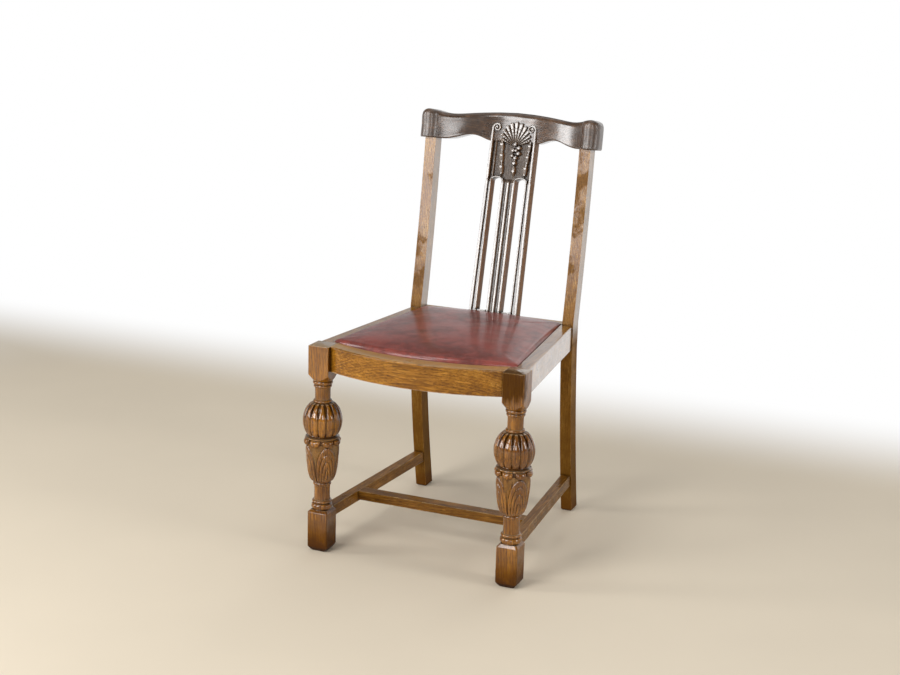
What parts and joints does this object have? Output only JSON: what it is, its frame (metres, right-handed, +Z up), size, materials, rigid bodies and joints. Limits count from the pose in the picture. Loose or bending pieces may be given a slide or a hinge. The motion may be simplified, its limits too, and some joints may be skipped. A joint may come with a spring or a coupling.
{
  "type": "dining chair",
  "caption": "Oak dining chair with carved bulbous front legs, raked back with pierced splat and shaped crest, stretchers and a lift-out leather seat.",
  "frame": {"origin": "on the floor, below the middle of the box round the whole chair", "axes": "+Z up from the floor, +Y from the front of the chair to its back, +X to the right as seen from the front"},
  "size_m": [0.502, 0.5926, 0.8875],
  "materials": {
    "stained_oak": "dark stain with a worn semi-gloss polish",
    "beech": "plain, unpolished",
    "leather": "semi-gloss, mottled",
    "webbing": "coarse weave",
    "hessian": "coarse weave",
    "stuffing": "hair and wadding",
    "bottom_cloth": "plain black cotton",
    "steel": "dull"
  },
  "bodies": {
    "frame": {"front_leg_left": "stained_oak", "front_leg_right": "stained_oak", "back_leg_left": "stained_oak", "back_leg_right": "stained_oak", "front_seat_rail": "stained_oak", "side_seat_rail_left": "stained_oak", "side_seat_rail_right": "stained_oak", "back_seat_rail": "stained_oak", "crest_rail": "stained_oak", "back_splat": "stained_oak", "side_stretcher_left": "stained_oak", "side_stretcher_right": "stained_oak", "cross_stretcher": "stained_oak", "corner_block_front_left": "beech", "corner_block_front_right": "beech", "corner_block_back_left": "beech", "corner_block_back_right": "beech", "corner_block_screws": "steel"},
    "seat": {"seat_frame_front": "beech", "seat_frame_back": "beech", "seat_frame_left": "beech", "seat_frame_right": "beech", "seat_frame_dowels": "beech", "webbing_lengthwise": "webbing", "webbing_crosswise": "webbing", "webbing_tacks": "steel", "hessian_sheet": "hessian", "seat_stuffing": "stuffing", "leather_cover": "leather", "bottom_cloth": "bottom_cloth", "cover_tacks": "steel"}
  },
  "joints": [
    {"name": "seat_lift", "type": "slide", "parent": "frame", "child": "seat", "axis": [0, 0, 1], "range_m": [0, 0.2]}
  ]
}
